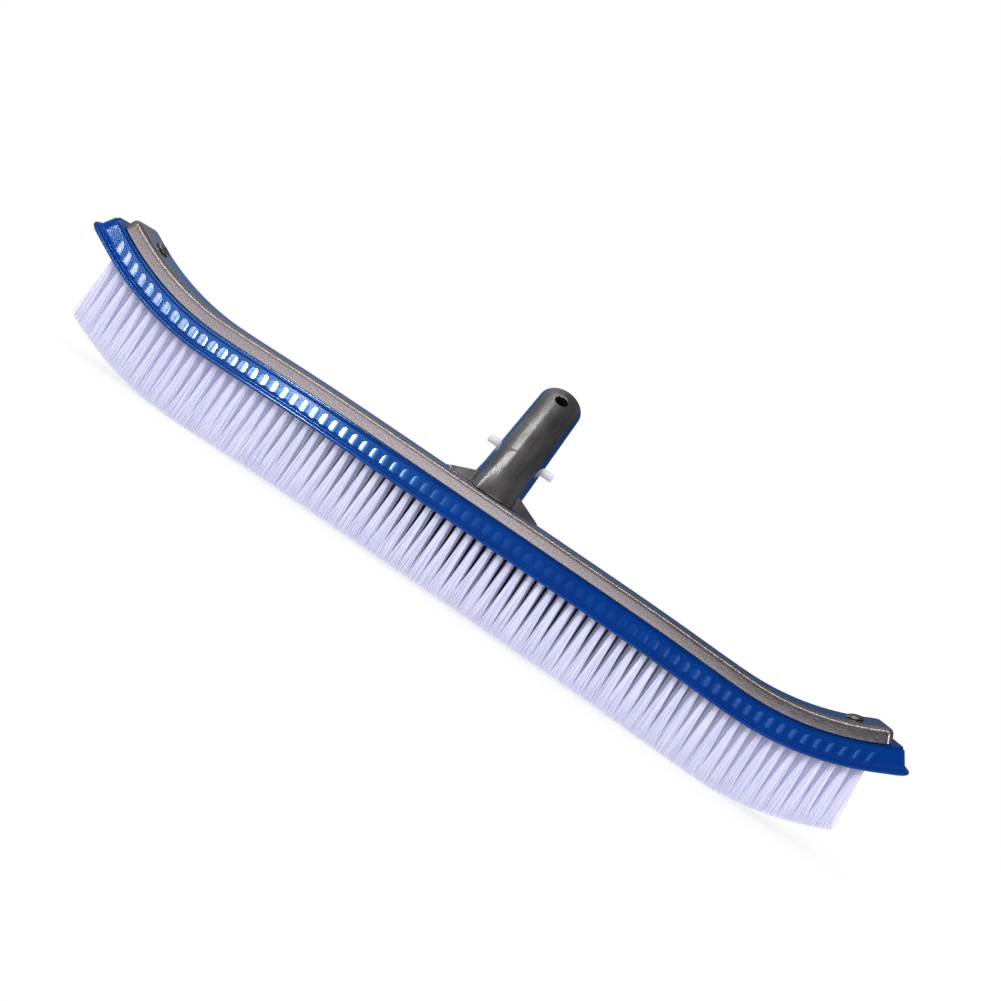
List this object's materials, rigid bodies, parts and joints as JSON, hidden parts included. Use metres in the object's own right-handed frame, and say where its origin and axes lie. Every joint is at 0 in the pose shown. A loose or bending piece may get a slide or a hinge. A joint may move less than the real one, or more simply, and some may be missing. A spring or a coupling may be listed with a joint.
{
  "type": "pool wall brush",
  "caption": "Curved pool wall brush with upturned ends, rows of nylon tufts, an aluminium back and an angled pole socket with a spring clip.",
  "frame": {"origin": "middle of the trimmed bristle face, under the centre of the brush", "axes": "+X along the brush, +Z away from the bristles towards the back, and the handle socket leans towards +Y"},
  "size_m": [0.5094, 0.0996, 0.1322],
  "materials": {
    "blue_plastic": "moulded blue polypropylene, glossy",
    "satin_aluminium": "pressed aluminium with a satin, slightly grainy skin",
    "cast_aluminium": "die cast, dull with a soft sheen",
    "white_nylon": "fine nylon filament, white",
    "white_plastic": "moulded white acetal",
    "zinc_steel": "zinc plated steel"
  },
  "bodies": {
    "brush": {"brush_body": "blue_plastic", "aluminium_back": "satin_aluminium", "handle_socket": "cast_aluminium", "clip_bend": "white_plastic", "end_screw_left": "zinc_steel", "end_screw_right": "zinc_steel", "foot_screw_left": "zinc_steel", "foot_screw_right": "zinc_steel", "tuft_block_01": "white_nylon", "tuft_block_02": "white_nylon", "tuft_block_03": "white_nylon", "tuft_block_04": "white_nylon", "tuft_block_05": "white_nylon", "tuft_block_06": "white_nylon", "tuft_block_07": "white_nylon", "tuft_block_08": "white_nylon", "tuft_block_09": "white_nylon", "tuft_block_10": "white_nylon", "tuft_block_11": "white_nylon", "tuft_block_12": "white_nylon", "tuft_block_13": "white_nylon", "tuft_block_14": "white_nylon", "tuft_block_15": "white_nylon", "tuft_block_16": "white_nylon", "tuft_block_17": "white_nylon", "tuft_block_18": "white_nylon", "tuft_block_19": "white_nylon", "tuft_block_20": "white_nylon", "tuft_block_21": "white_nylon", "tuft_block_22": "white_nylon", "tuft_block_23": "white_nylon", "tuft_block_24": "white_nylon", "tuft_block_25": "white_nylon", "tuft_block_26": "white_nylon", "tuft_block_27": "white_nylon", "tuft_block_28": "white_nylon", "tuft_block_29": "white_nylon", "tuft_block_30": "white_nylon", "tuft_block_31": "white_nylon", "tuft_block_32": "white_nylon", "tuft_block_33": "white_nylon", "tuft_block_34": "white_nylon", "tuft_block_35": "white_nylon", "tuft_block_36": "white_nylon", "tuft_block_37": "white_nylon"},
    "clip_arm_left": {"clip_arm_left": "white_plastic"},
    "clip_arm_right": {"clip_arm_right": "white_plastic"}
  },
  "joints": [
    {"name": "press_pin_left", "type": "hinge", "parent": "brush", "child": "clip_arm_left", "pos_m": [-0.0096, 0.05646, 0.10626], "axis": [0, -0.682, 0.7314], "range_deg": [0, 11.8], "stiffness_Nm_per_rad": 0.6},
    {"name": "press_pin_right", "type": "hinge", "parent": "brush", "child": "clip_arm_right", "pos_m": [0.0096, 0.05646, 0.10626], "axis": [0, 0.682, -0.7314], "range_deg": [0, 11.8], "stiffness_Nm_per_rad": 0.6}
  ]
}
